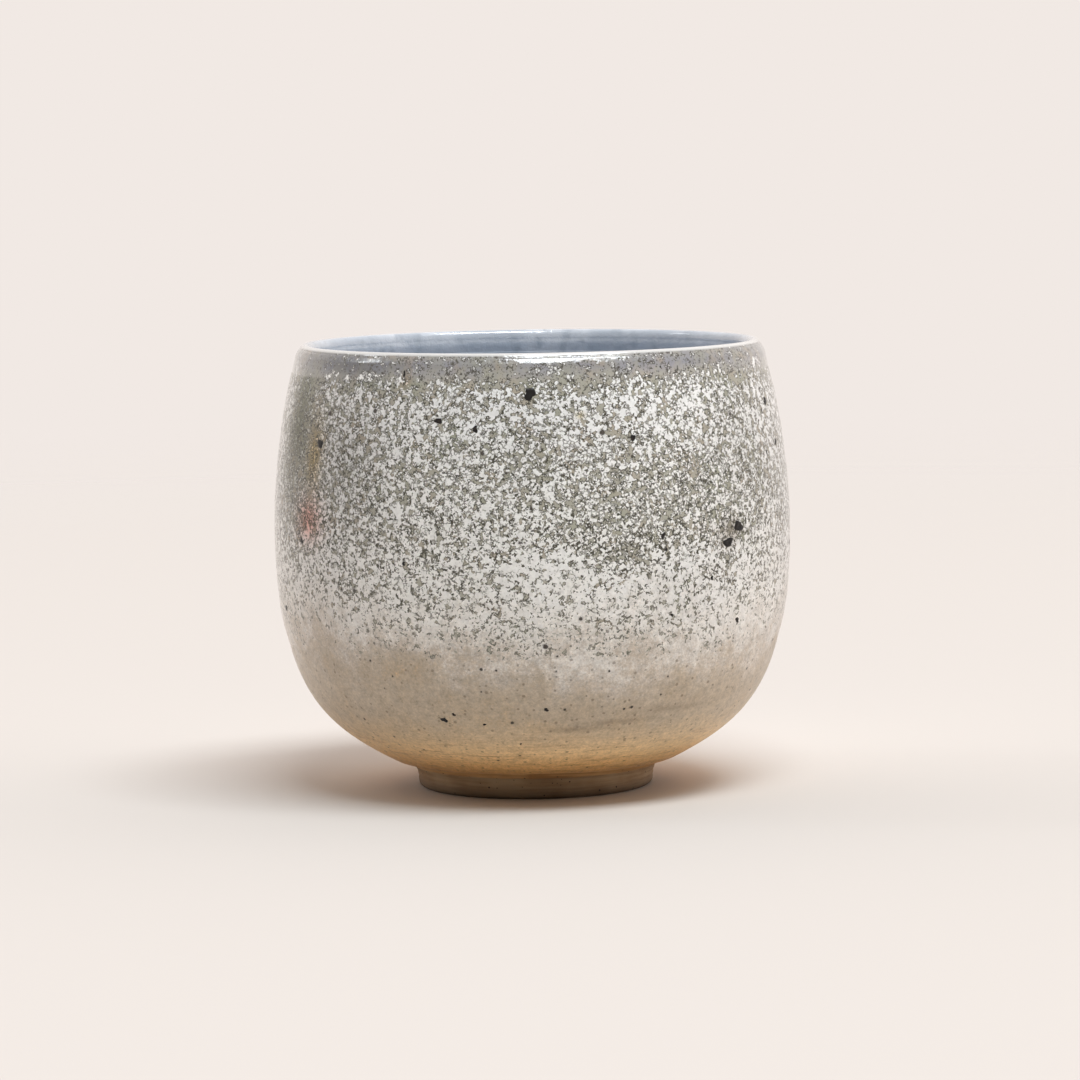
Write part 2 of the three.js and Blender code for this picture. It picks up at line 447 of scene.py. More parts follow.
def toasted_clay():
    """Finish of the bare clay: amber where the fire reached it, browner in streaks and clouds."""
    finish, tree, shader, place = new_finish("toasted_clay", {"Roughness": 0.6})
    lines = placed(tree, TURNING_LINES, Place=place)["Lines"]
    grit = placed(tree, IRON_SPECKS, Place=place, Pitch=0.9, Density=0.4)["Speck"]
    browned = eased(tree, calc(tree, "ADD", cloud(tree, place, 0.15), lines), 0.75, 1.3)
    clay = mixed(tree, browned, fired(*TOAST_AMBER), fired(*TOAST_BROWN))
    tree.links.new(mixed(tree, grit, clay, fired(*CLAY_GRIT)), shader.inputs["Base Color"])
    bump(tree, shader, lines, 0.08)
    return finish


wear(toasted_clay(), stoneware_bowl(), "toasted_clay", "stoneware_bowl")


# Base glaze
# The thin first coat over the whole outside. Over the haunch, where it is thinnest, the clay shines through
# it amber; higher up it turns a milky grey-beige. The wheel's turning lines and specks of iron show in it.
BASE_COAT = 0.4 * MM
BASE_LINE = 4.8 * MM
LIP_LINE = 69.9 * MM
BEAD = 1.2 * MM
SHOWN = 0.42
COAT_COLUMNS = 384
RAMP_TOP = 80.0
SPECK_BROWN = (58, 50, 42)
STREAK_BROWN = (142, 104, 66)
FRECKLE = (112, 96, 76)

# Waver of the wiped edge: size, waves round the cup, phase
BASE_WAVER = [(0.15 * MM, 2, 0.4), (0.12 * MM, 5, 1.9), (0.08 * MM, 11, 0.2)]

# Colour of the coat, by height in millimetres
SKIN = [
    (4.0, (206, 156, 100)),
    (6.5, (240, 194, 132)),
    (9.0, (242, 207, 157)),
    (12.0, (211, 187, 153)),
    (15.0, (193, 176, 152)),
    (20.0, (199, 185, 165)),
    (24.0, (212, 201, 187)),
    (28.0, (232, 226, 217)),
    (33.0, (246, 243, 237)),
    (40.0, (251, 250, 246)),
    (75.0, (252, 252, 250)),
]

# Where it is thicker, and so looks as it does some millimetres higher up, or thinner: millimetres, then the
# place: angle from the front, height, width and half height, in degrees and millimetres
THICKER = [
    (-5.0, -32, 23, 18, 5),
    (-5.0, -58, 30, 16, 7),
    (4.5, 13, 22, 9, 4),
    (2.0, 45, 25, 14, 5),
    (-4.0, 100, 24, 20, 6),
    (4.0, 140, 22, 14, 5),
    (-5.0, 190, 25, 22, 6),
    (3.5, 235, 22, 12, 4),
]

# Stains in this coat and the two after it, and patches of painted shade: the colour that the glaze is
# multiplied by, then the place
STAINS_AND_SHADE = [
    ((0.70, 0.68, 0.66), 10, 13.6, 9, 0.6),
    ((0.72, 0.70, 0.68), 22, 14.6, 9, 0.5),
    ((0.76, 0.74, 0.72), 36, 16.2, 9, 0.6),
    # Painted shade, not stains: the next four darken the body at its left and right sides.
    ((0.78, 0.78, 0.79), -58, 42.0, 26, 36),
    ((0.77, 0.77, 0.77), -46, 58.0, 13, 11),
    ((0.82, 0.82, 0.82), 54, 58.0, 15, 15),
    ((0.78, 0.78, 0.79), 80, 45.0, 18, 30),
    ((0.87, 0.90, 0.93), 46, 8.0, 18, 5),
    ((0.88, 0.88, 0.89), 38, 36.0, 21, 9),
    ((0.95, 0.95, 0.96), 5, 66.0, 50, 9),
    # Painted shade with a bluish painted reflection: the lip band darkened and blued at the left.
    ((0.38, 0.42, 0.52), -49, 72.0, 15, 2.2),
    ((0.88, 0.90, 1.02), -24, 72.4, 10, 1),
    ((0.90, 0.92, 1.02), 14, 72.0, 9, 1),
    ((0.90, 0.92, 1.03), 40, 72.0, 10, 1),
    ((0.90, 0.92, 1.03), 120, 72.0, 16, 1.5),
    ((0.90, 0.92, 1.03), 215, 72.0, 20, 1.5),
    # Painted shade: a dark stripe near the left edge.
    ((0.46, 0.47, 0.40), -67, 62.0, 7, 11),
    ((0.96, 0.74, 0.40), -57, 57.5, 3, 5),
    ((0.98, 0.54, 0.46), -58, 47.0, 5, 3.5),
    ((0.62, 0.58, 0.54), 48, 44.5, 4, 2),
    ((0.80, 0.66, 0.50), -30, 70.0, 1.5, 1.2),
    ((0.72, 0.62, 0.40), 11.2, 64.4, 0.9, 0.6),
    ((0.84, 0.82, 0.80), 170, 15.0, 24, 1.2),
    ((0.95, 0.86, 0.70), 150, 56.0, 6, 8),
    ((1.00, 0.82, 0.78), 250, 46.0, 6, 4),
]


def coat(name, along, over, under, columns):
    """A closed shell of glaze on a stretch of the clay's meridian: its face lies at the depth over, out from
    the clay, and its back at the depth under, with every sixth row of the face."""
    face = lifted(along, over, angles(columns))
    back = lifted(along[::-6], under, angles(columns))
    return turned(name, np.vstack([face[0], back[0]]), np.vstack([face[1], back[1]]))


def patch(piece, angle, height, width, tall):
    """A soft round patch on a piece's points: exp(-(angle away / width)^2 - (height away / tall)^2)."""
    place = np.empty(3 * len(piece.data.vertices))
    piece.data.vertices.foreach_get("co", place)
    across, deep, up = place.reshape(-1, 3).T
    away = (np.degrees(np.arctan2(across, -deep)) - angle + 180) % 360 - 180
    return np.exp(-((away / width) ** 2) - ((up / MM - height) / tall) ** 2)


def note(piece, name, patches):
    """Stores a value for each point of a piece: the sum of soft patches, each with its strength."""
    value = sum(strength * patch(piece, *place) for strength, *place in patches)
    piece.data.attributes.new(name, "FLOAT", "POINT").data.foreach_set("value", value)


def stain_and_shade(piece):
    """Stores a colour for each point of a piece: white, multiplied by the colour of each entry, stain and
    painted shade alike, in its patch.
    """
    tint = np.ones((len(piece.data.vertices), 4))
    for colour, *place in STAINS_AND_SHADE:
        tint[:, :3] *= 1 - patch(piece, *place)[:, None] * (1 - np.array(colour))
    piece.data.attributes.new("stain_and_shade", "FLOAT_COLOR", "POINT").data.foreach_set("color", tint.ravel())


def base_glaze():
    """Coat from its wiped edge, which wavers and is rounded like a bead, up to the dipped rim. The rows are
    finer on its lower part, which shows."""
    share = np.concatenate([np.linspace(0, SHOWN, 150), np.linspace(SHOWN, 1, 40)[1:]])[:, None]
    start = up_outside(BASE_LINE) + wavering(angles(COAT_COLUMNS), *BASE_WAVER)
    along = start + share * (up_outside(LIP_LINE) - start)
    bead = np.clip((along - start) / BEAD, 0, 1)
    over = BASE_COAT * np.sqrt(1 - (1 - bead) ** 2)
    piece = coat("base_glaze_coat", along, over, 0.0, COAT_COLUMNS)
    note(piece, "thicker", THICKER)
    stain_and_shade(piece)
    return piece


def swing(tree, noise, size):
    """A noise from 0 to 1 made to swing round 0, by half its size up and down."""
    return calc(tree, "MULTIPLY", calc(tree, "SUBTRACT", noise, 0.5), size)


def total(tree, first, *others):
    """Sum of several values."""
    for other in others:
        first = calc(tree, "ADD", first, other)
    return first


def by_height(tree, level, stops):
    """Colour that goes from stop to stop with a level in millimetres. A stop is a height and a colour."""
    ramp = node(tree, "ValToRGB", {0: calc(tree, "DIVIDE", level, RAMP_TOP)})
    for extra in stops[2:]:
        ramp.color_ramp.elements.new(1.0)
    for element, (height, colour) in zip(ramp.color_ramp.elements, stops):
        element.position = height / RAMP_TOP
        element.color = colour
    return ramp.outputs[0]


def multiplied(tree, first, second):
    """Two colours multiplied."""
    sockets = {0: 1.0, 6: first, 7: second}
    return node(tree, "Mix", sockets, data_type="RGBA", blend_type="MULTIPLY").outputs[2]


def milky_skin():
    """Group: colour of the outer glaze by height, from amber over the foot through grey-beige to crystal
    white. Thicker raises or lowers the levels, clouds of noise make them ragged, and the turning lines streak
    the amber."""
    inputs = {"Place": "Vector", "Thicker": "Float"}
    group, given, result = new_group("milky_skin", inputs, {"Color": "Color"})
    place = given["Place"]
    height = height_at(group, place)
    lines = placed(group, TURNING_LINES, Place=place)["Lines"]
    wide = swing(group, cloud(group, place, 0.15, 3.0), 18.0)
    ragged = swing(group, cloud(group, place, 0.4, 6.0, 0.75), 22.0)
    sandy = swing(group, cloud(group, place, 3.2, 2.0, 0.6), 10.0)
    drift = total(group, given["Thicker"], wide, ragged, sandy, swing(group, lines, 2.5))
    level = calc(group, "ADD", height, calc(group, "MULTIPLY", drift, eased(group, height, 8.0, 26.0)))
    skin = by_height(group, level, [(stop, fired(*colour)) for stop, colour in SKIN])
    amber = eased(group, level, 15.0, 9.0, 0.0, 0.5)
    streaks = calc(group, "MULTIPLY", eased(group, lines, 0.5, 0.75), amber)
    skin = mixed(group, streaks, skin, fired(*STREAK_BROWN))
    blotches = swing(group, cloud(group, place, 0.7, 4.0, 0.7), 0.8)
    grain = swing(group, cloud(group, place, 2.1, 4.0, 0.8), 1.1)
    fading = eased(group, level, 26.0, 40.0, 1.0, 0.35)
    uneven = calc(group, "MULTIPLY", total(group, blotches, grain), fading)
    group.links.new(shaded(group, skin, calc(group, "ADD", uneven, 1.0)), result["Color"])
    return group


MILKY_SKIN = milky_skin()


def stored(tree, name):
    """What the points of a piece hold under a name: Fac as a value, Color as a colour."""
    return node(tree, "Attribute", attribute_name=name).outputs


def outer_skin(tree, place):
    """The milky skin's colour, with its stains and painted shade, at a place on a piece that holds the
    thicker and stain-and-shade values.
    """
    skin = placed(tree, MILKY_SKIN, Place=place, Thicker=stored(tree, "thicker")["Fac"])["Color"]
    return multiplied(tree, skin, stored(tree, "stain_and_shade")["Color"])


def specked(tree, place, colour, pitch, density):
    """A colour with specks of iron in it, each with a faint brown halo."""
    specks = placed(tree, IRON_SPECKS, Place=place, Pitch=pitch, Density=density)
    colour = mixed(tree, calc(tree, "MULTIPLY", specks["Halo"], 0.25), colour, fired(*SPECK_BROWN))
    return mixed(tree, specks["Speck"], colour, fired(*SPECK_BROWN))


def amber_glaze():
    """Finish of the first coat: the milky skin with freckles and specks, satin, with turned lines in it."""
    finish, tree, shader, place = new_finish("amber_glaze")
    freckles = placed(tree, IRON_SPECKS, Place=place, Pitch=0.85, Density=0.4)["Halo"]
    colour = mixed(tree, calc(tree, "MULTIPLY", freckles, 0.6), outer_skin(tree, place), fired(*FRECKLE))
    colour = specked(tree, place, colour, 1.2, 0.16)
    tree.links.new(specked(tree, place, colour, 4.7, 0.1), shader.inputs["Base Color"])
    satin = eased(tree, cloud(tree, place, 0.8), 0.3, 0.7, 0.32, 0.45)
    tree.links.new(satin, shader.inputs["Roughness"])
    bump(tree, shader, placed(tree, TURNING_LINES, Place=place)["Lines"], 0.05)
    return finish


wear(amber_glaze(), base_glaze(), "amber_glaze", "base_glaze")


# Mottled glaze
# The second coat, over the upper two thirds of the first. Matt white crystals grew on it as it cooled, and
# low down they closed to a skin. Between them the glassy olive-grey glaze shows in jagged, dark-rimmed gaps.
MOTTLED_COAT = 0.3 * MM
MOTTLED_LINE = 24.5 * MM
MOTTLED_TOP = 70.5 * MM
BURIED = 0.05 * MM
EDGE_FADE = 9 * MM
CRYSTALS_PER_MM = 1.78
CRACKS_PER_MM = 1.1
SEAMS_PER_MM = 1.5
DUST_PER_MM = 2.5
OLIVE = (178, 175, 160)
OLIVE_GREEN = (168, 169, 150)
OLIVE_BROWN = (184, 174, 156)
LAVENDER = (160, 162, 176)
GAP_RIM = (60, 58, 45)

# Waver of the lower and the upper edge: size, waves round the cup, phase
LOW_WAVER = [(0.5 * MM, 2, 1.1), (0.3 * MM, 5, 0.3), (0.2 * MM, 9, 2.2)]
TOP_WAVER = [(0.15 * MM, 3, 0.7), (0.1 * MM, 7, 1.3)]

# How far the skin is broken, by height in millimetres: from 0, closed, to 1, all bare
BARENESS = [
    (22.0, 0.05),
    (27.0, 0.39),
    (33.0, 0.48),
    (40.0, 0.50),
    (46.0, 0.58),
    (55.0, 0.66),
    (65.0, 0.615),
    (69.0, 0.73),
    (71.5, 1.00),
    (74.0, 1.0),
]

# Where it is broken more, or less: strength, then the place as angle, height, width and half height
BARER = [
    (0.30, -63, 62, 9, 15),
    (0.05, -42, 58, 8, 9),
    (0.10, 32, 52, 22, 8),
    (0.06, 12, 58, 9, 3),
    (0.06, -3, 56, 6, 3),
    (0.07, -20, 61.5, 5, 2.5),
    (0.06, 15, 44, 9, 3),
    (0.07, 20, 42, 6, 2),
    (0.06, 48, 44, 6, 3),
    (0.05, -43, 37, 8, 3),
    (-0.07, 35, 65, 10, 4),
    (-0.06, -5, 66, 5, 2),
    (-0.07, 3, 38, 8, 5),
    (-0.06, 28, 36, 12, 5),
    (-0.05, -8, 48, 8, 3),
    (-0.15, -54, 28, 14, 5),
    (-0.10, 57, 29, 10, 5),
    (0.14, 105, 55, 14, 10),
    (-0.06, 135, 62, 14, 6),
    (0.10, 165, 48, 16, 7),
    (0.22, 205, 60, 12, 12),
    (-0.06, 225, 44, 12, 6),
    (0.08, 250, 56, 14, 7),
]


def mottled_edges(angle):
    """Where the second coat starts and ends along the meridian, at an angle: both lines waver."""
    start = up_outside(MOTTLED_LINE) + wavering(angle, *LOW_WAVER)
    return start, up_outside(MOTTLED_TOP) + wavering(angle, *TOP_WAVER)


def mottled_depth(along, angle):
    """Depth of the second coat's face. It rises by s (2 - s), where s is the share of the way in from the
    lower edge times that from the upper one, and at both edges it dips just under the first coat."""
    start, end = mottled_edges(angle)
    rise = np.clip((along - start) / EDGE_FADE, 0, 1) * np.clip((end - along) / EDGE_FADE, 0, 1)
    return BASE_COAT + (MOTTLED_COAT + BURIED) * rise * (2 - rise) - BURIED


def mottled_glaze():
    """Coat between its two wavering edges, with the values that its finish needs."""
    angle = angles(COAT_COLUMNS)
    start, end = mottled_edges(angle)
    along = start + np.linspace(0, 1, 200)[:, None] * (end - start)
    over = mottled_depth(along, angle)
    piece = coat("mottled_glaze_coat", along, over, BASE_COAT - 2 * BURIED, COAT_COLUMNS)
    note(piece, "thicker", THICKER)
    note(piece, "barer", BARER)
    stain_and_shade(piece)
    return piece


def olive_glass():
    """Group: colour of the glassy glaze, olive-grey in greener and browner clouds, lavender near the lip."""
    group, given, result = new_group("olive_glass", {"Place": "Vector"}, {"Color": "Color"})
    place = given["Place"]
    browned = eased(group, cloud(group, place, 0.3, 3.0), 0.45, 0.7)
    greened = eased(group, cloud(group, stretched(group, place, 1.0, 0.6), 0.21, 2.0), 0.5, 0.75)
    colour = mixed(group, browned, fired(*OLIVE), fired(*OLIVE_BROWN))
    colour = mixed(group, greened, colour, fired(*OLIVE_GREEN))
    veiled = eased(group, cloud(group, place, 0.35, 3.0, 0.6), 0.35, 0.6)
    bluish = calc(group, "MULTIPLY", veiled, eased(group, height_at(group, place), 69.0, 72.5, 0.0, 0.75))
    colour = mixed(group, bluish, colour, fired(*LAVENDER))
    grain = swing(group, cloud(group, place, 2.6, 3.0, 0.7), 0.4)
    group.links.new(shaded(group, colour, calc(group, "ADD", grain, 1.0)), result["Color"])
    return group


def crystal_gaps():
    """Group: gaps between the crystals. Crystals grow from the points of a smooth Voronoi pattern bent by
    noise, to a radius that noise varies in patches and that shrinks with the bareness of their height and the
    Barer value. The large ones merge to a skin, and broken cracks run through it along the edges of two more
    patterns, a wide and a fine one. A dust of the smallest grains lies on the bare glaze too.
    Gap is the mask of bare glaze, Rim the broken dark line along the crystals and Pale how light they are."""
    outputs = {"Gap": "Float", "Rim": "Float", "Pale": "Float"}
    group, given, result = new_group("crystal_gaps", {"Place": "Vector", "Barer": "Float"}, outputs)
    place = given["Place"]
    bend = node(group, "TexNoise", {"Vector": place, "Scale": 2.4, "Detail": 2.0}).outputs["Color"]
    centred = node(group, "VectorMath", {0: bend, 1: (0.5, 0.5, 0.5)}, operation="SUBTRACT").outputs[0]
    bent = node(group, "VectorMath", {0: place, 1: shaded(group, centred, 0.5)}, operation="ADD").outputs[0]
    wander = swing(group, cloud(group, place, 0.16, 3.0), 12.0)
    height = calc(group, "ADD", height_at(group, place), wander)
    grey = by_height(group, height, [(stop, (bare, bare, bare, 1.0)) for stop, bare in BARENESS])
    bareness = calc(group, "ADD", grey, given["Barer"])

    grains = {"Vector": bent, "Scale": CRYSTALS_PER_MM, "Smoothness": 0.35}
    cells = node(group, "TexVoronoi", grains, feature="SMOOTH_F1").outputs
    patches = swing(group, cloud(group, bent, 0.93, 2.0), 2.6)
    drifts = swing(group, cloud(group, place, 0.35, 2.0), 0.6)
    ragged = swing(group, cloud(group, place, 4.5, 2.0, 0.6), 0.25)
    shrunk = calc(group, "MULTIPLY", calc(group, "SUBTRACT", 0.66, bareness), 1.3)
    grown = total(group, patches, drifts, ragged, shrunk, 0.54)
    skin = calc(group, "SUBTRACT", grown, cells["Distance"])
    edges = {"Vector": bent, "Scale": CRACKS_PER_MM}
    edge = node(group, "TexVoronoi", edges, feature="DISTANCE_TO_EDGE").outputs["Distance"]
    broken = swing(group, cloud(group, place, 1.3, 2.0), 1.1)
    closed = eased(group, height, 44.0, 60.0, 0.37, 0.62)
    split = calc(group, "MULTIPLY", bareness, 0.7)
    unsplit = calc(group, "SUBTRACT", total(group, edge, broken, closed), split)
    cover = calc(group, "MINIMUM", skin, unsplit)

    dust = node(group, "TexVoronoi", {"Vector": bent, "Scale": DUST_PER_MM}).outputs["Distance"]
    dusty = eased(group, cloud(group, place, 0.7, 2.0), 0.4, 0.6, 0.06, 0.4)
    dusty = calc(group, "MULTIPLY", dusty, eased(group, height, 67.0, 70.5, 1.0, 0.2))
    cover = calc(group, "MAXIMUM", cover, calc(group, "SUBTRACT", dusty, dust))
    gap = eased(group, cover, 0.03, -0.04)
    outlined = eased(group, cloud(group, place, 1.4, 2.0), 0.34, 0.5)
    darkened = calc(group, "MULTIPLY", eased(group, height, 26.0, 40.0, 0.65, 1.0), outlined)
    rim = calc(group, "MULTIPLY", eased(group, cover, -0.29, -0.17), darkened)
    seams = {"Vector": bent, "Scale": SEAMS_PER_MM}
    seam = node(group, "TexVoronoi", seams, feature="DISTANCE_TO_EDGE").outputs["Distance"]
    opened = calc(group, "ADD", cloud(group, place, 1.0, 2.0), calc(group, "MULTIPLY", bareness, 0.5))
    fine = calc(group, "MULTIPLY", eased(group, seam, 0.15, 0.06), eased(group, opened, 0.775, 0.855))
    crack = calc(group, "MULTIPLY", fine, calc(group, "SUBTRACT", 0.8, gap))
    group.links.new(calc(group, "MAXIMUM", gap, crack), result["Gap"])
    group.links.new(calc(group, "MAXIMUM", calc(group, "MULTIPLY", gap, rim), crack), result["Rim"])
    group.links.new(node(group, "SeparateColor", {0: cells["Color"]}).outputs[1], result["Pale"])
    return group


OLIVE_GLASS = olive_glass()
CRYSTAL_GAPS = crystal_gaps()


def mottled_finish():
    """Finish of the second coat: white crystals and olive gaps, matt on the crystals and glossy in the gaps,
    and less glossy where its stain-and-shade colour is dark, as in the painted shade of the stripe at
    the left."""
    finish, tree, shader, place = new_finish("mottled_glaze", {"Coat Roughness": 0.15})
    gaps = placed(tree, CRYSTAL_GAPS, Place=place, Barer=stored(tree, "barer")["Fac"])
    stained_and_shaded = stored(tree, "stain_and_shade")["Color"]
    glass = multiplied(tree, placed(tree, OLIVE_GLASS, Place=place)["Color"], stained_and_shaded)
    glass = mixed(tree, gaps["Rim"], glass, fired(*GAP_RIM))
    skin = shaded(tree, outer_skin(tree, place), eased(tree, gaps["Pale"], 0.0, 1.0, 0.94, 1.05))
    colour = mixed(tree, gaps["Gap"], skin, glass)
    tree.links.new(specked(tree, place, colour, 1.9, 0.12), shader.inputs["Base Color"])
    tree.links.new(eased(tree, gaps["Gap"], 0.0, 1.0, 0.5, 0.22), shader.inputs["Roughness"])
    shine = calc(tree, "MULTIPLY", node(tree, "SeparateColor", {0: stained_and_shaded}).outputs[1], 0.5)
    tree.links.new(shine, shader.inputs["Specular IOR Level"])
    tree.links.new(shine, shader.inputs["Coat Weight"])
    bump(tree, shader, calc(tree, "SUBTRACT", 1.0, gaps["Gap"]), 0.03)
    return finish


wear(mottled_finish(), mottled_glaze(), "mottled_glaze", "mottled_glaze")


# Lip glaze
# The rim was dipped in the clear liner glaze: a glossy band, grey with a breath of lavender and many specks
# outside, and blue-grey inside. Here and there the glaze ran thin and the clay under it shows tan.
LIP_COAT = 0.4 * MM
LIP_SWELL = 0.03 * MM
LIP_INSIDE_LINE = 70.9 * MM
LIP_OVERLAP = 1.0 * MM
COMING_OUT = 1.2 * MM
STARTS_UNDER = 0.14 * MM
GOING_THIN = 1.6 * MM
ENDS_THINNER = 0.08 * MM
OUTER_TURN = np.radians(23)
OUTER_THINNED = 0.38 * MM
OUTER_ROUND = 0.55 * MM
BEVEL = 1.1 * MM
BEVEL_SOFTNESS = 0.08
INNER_TURN = np.radians(20)
INNER_THINNED = 0.34 * MM
INNER_ROUND = 0.9 * MM
LIP_ROWS = 162
LIP_COLUMNS = 480
LIP_GREY = (134, 133, 127)
LIP_TAN = (172, 158, 138)
CREST_PAINTED_HIGHLIGHT = (224, 223, 220)
LINER_BLUE = (188, 197, 208)
LINER_PALE = (214, 220, 228)
LINER_DEEP = (170, 180, 192)


def lip_glaze():
    """Coat from the outside over the lip's round to the inside. It comes out from under the other coats, and
    inside it thins out into the liner. It ran off the lip's two edges: up to the outer one it thins in a
    straight bevel with a soft start, log(1 + exp), and past it by exp(-(s / round)^2) of the distance s, as
    it does on both sides of the inner one."""
    first = up_outside(LIP_LINE - LIP_OVERLAP)
    last = down_inside(LIP_INSIDE_LINE - LIP_OVERLAP)
    along = np.linspace(first, last, LIP_ROWS)[:, None]
    coming = STARTS_UNDER * (1 - np.clip((along - first) / COMING_OUT, 0, 1)) ** 2
    going = ENDS_THINNER * (1 - np.clip((last - along) / GOING_THIN, 0, 1)) ** 2
    past_outer = along - up_outside(outside[-1, 1]) - LIP_THICKNESS / 2 * OUTER_TURN
    past_inner = along - down_inside(inside[0, 1]) + LIP_THICKNESS / 2 * INNER_TURN
    bevel = BEVEL_SOFTNESS * np.logaddexp(0, (1 + past_outer / BEVEL) / BEVEL_SOFTNESS)
    rounded = np.exp(-((past_outer / OUTER_ROUND) ** 2))
    thinned = OUTER_THINNED * np.where(past_outer < 0, bevel, rounded)
    thinned = thinned + INNER_THINNED * np.exp(-((past_inner / INNER_ROUND) ** 2))
    depth = LIP_COAT + LIP_SWELL - coming - going - thinned
    piece = coat("lip_glaze_coat", along, depth, 0.0, LIP_COLUMNS)
    note(piece, "barer", BARER)
    stain_and_shade(piece)
    return piece


def liner_flow():
    """Group: colour of the glaze poured inside, blue-grey with paler and deeper veils run down the wall."""
    group, given, result = new_group("liner_flow", {"Place": "Vector"}, {"Color": "Color"})
    veils = stretched(group, given["Place"], 1.0, 0.25)
    pale = eased(group, cloud(group, veils, 0.12, 3.0), 0.45, 0.75)
    deep = eased(group, cloud(group, given["Place"], 0.4, 2.0), 0.5, 0.8)
    colour = mixed(group, pale, fired(*LINER_BLUE), fired(*LINER_PALE))
    group.links.new(mixed(group, deep, colour, fired(*LINER_DEEP)), result["Color"])
    return group


LINER_FLOW = liner_flow()


def lip_finish():
    """Finish of the dipped rim: outside, grey glass with lavender and tan clouds and the last grains of
    crystal, paler along the very top, a painted highlight of the crest; inside, the liner's colour;
    glossy, rippled, with dark specks."""
    constants = {"Roughness": 0.1, "IOR": 1.7, "Coat Weight": 0.8, "Coat Roughness": 0.04}
    finish, tree, shader, place = new_finish("lip_glaze", constants)
    height = height_at(tree, place)
    glass = placed(tree, OLIVE_GLASS, Place=place)["Color"]
    greyed = calc(tree, "MULTIPLY", eased(tree, height, 70.5, 73.5), 0.6)
    glass = mixed(tree, greyed, glass, fired(*LIP_GREY))
    tanned = calc(tree, "MULTIPLY", eased(tree, cloud(tree, place, 0.22, 3.0, 0.6), 0.52, 0.68), 0.7)
    tanned = calc(tree, "MULTIPLY", tanned, eased(tree, height, 71.0, 72.5))
    glass = mixed(tree, tanned, glass, fired(*LIP_TAN))
    glass = multiplied(tree, glass, stored(tree, "stain_and_shade")["Color"])
    gaps = placed(tree, CRYSTAL_GAPS, Place=place, Barer=stored(tree, "barer")["Fac"])
    glass = mixed(tree, gaps["Rim"], glass, fired(*GAP_RIM))
    glass = mixed(tree, gaps["Gap"], fired(*SKIN[-1][1]), glass)
    glass = specked(tree, place, specked(tree, place, glass, 0.7, 0.5), 1.3, 0.35)
    # Painted highlight: the very top is mixed to a pale colour that stands in for the reflection along the
    # crest.
    glass = mixed(tree, eased(tree, height, 73.6, 74.0), glass, fired(*CREST_PAINTED_HIGHLIGHT))
    level = node(tree, "VectorMath", {0: place, 1: (1.0, 1.0, 0.0)}, operation="MULTIPLY").outputs[0]
    radius = node(tree, "VectorMath", {0: level}, operation="LENGTH").outputs["Value"]
    within = eased(tree, radius, LIP_RADIUS / MM + 0.3, LIP_RADIUS / MM - 0.5)
    liner = placed(tree, LINER_FLOW, Place=place)["Color"]
    tree.links.new(mixed(tree, within, glass, liner), shader.inputs["Base Color"])
    bump(tree, shader, cloud(tree, place, 0.6, 3.0, 0.7), 0.15)
    return finish


wear(lip_finish(), lip_glaze(), "lip_glaze", "lip_glaze")


# Liner glaze
# The coat inside: glaze poured in, swirled round and poured out, so that it is thicker on the floor.
# It melted to a smooth, glossy blue-grey.
LINER_COAT = 0.4 * MM
LINER_COLUMNS = 320


def liner_glaze():
    """Coat from under the rim's edge down the wall to the middle of the floor."""
    along = np.linspace(down_inside(LIP_INSIDE_LINE), floor_arc, 150)[:, None]
    return coat("liner_glaze_coat", along, LINER_COAT, 0.0, LINER_COLUMNS)


def liner_finish():
    """Finish of the liner: blue-grey veils and a few specks, glossy, with a faint ripple."""
    finish, tree, shader, place = new_finish("liner_glaze", {"Roughness": 0.1})
    liner = placed(tree, LINER_FLOW, Place=place)["Color"]
    tree.links.new(specked(tree, place, liner, 0.8, 0.06), shader.inputs["Base Color"])
    bump(tree, shader, cloud(tree, place, 0.6, 2.0), 0.02)
    return finish


wear(liner_finish(), liner_glaze(), "liner_glaze", "liner_glaze")


# Iron spots
# Grains of iron in the clay that melted in the fire and boiled up through the glaze. Each froze to a dark,
# glassy blister, and most of the larger ones burst and left a crater.
SPOT_RINGS = 9
SPOT_COLUMNS = 22
SPOT_RISE = 0.12
SPOT_SUNK = 0.03
SPOT_ROOT = 0.35
CRATER_DEPTH = 0.75
CRATER_WIDTH = 0.45
EDGE_SIZES = (0.2, 0.13, 0.09)
EDGE_WAVES = (2, 3, 5)
STREWN_SPOTS = 44
IRON_BLACK = (13, 11, 11)
IRON_BROWN = (42, 34, 27)

# Spots on the front: angle from the front, height, width, height to width, and how deep the crater is
IRON_SPOTS = [
    (0.0, 67.8, 1.9, 1.0, 1.0),
    (-30.5, 70.9, 0.7, 1.9, 0.0),
    (-20.8, 63.6, 1.2, 0.9, 0.3),
    (-12.2, 62.3, 0.95, 1.1, 0.0),
    (-54.8, 59.2, 1.4, 1.2, 0.2),
    (23.0, 60.5, 1.1, 0.8, 0.3),
    (50.8, 45.2, 2.1, 0.9, 0.6),
    (47.2, 42.8, 2.0, 0.9, 0.7),
    (29.0, 44.8, 0.9, 1.0, 0.0),
    (29.8, 42.6, 0.6, 1.0, 0.0),
    (42.2, 37.4, 0.7, 1.0, 0.0),
    (51.5, 30.0, 1.0, 0.9, 0.2),
    (70.0, 64.4, 1.5, 0.8, 0.2),
    (-23.2, 15.5, 1.2, 0.8, 0.0),
    (-20.2, 16.5, 0.7, 0.9, 0.0),
    (-12.8, 14.9, 0.6, 0.9, 0.0),
    (2.8, 17.4, 0.8, 0.9, 0.0),
    (-4.0, 11.4, 0.5, 0.9, 0.0),
    (-28.5, 41.0, 0.7, 1.0, 0.0),
    (32.0, 71.4, 0.6, 1.0, 0.0),
    (31.5, 32.0, 0.6, 1.0, 0.0),
]


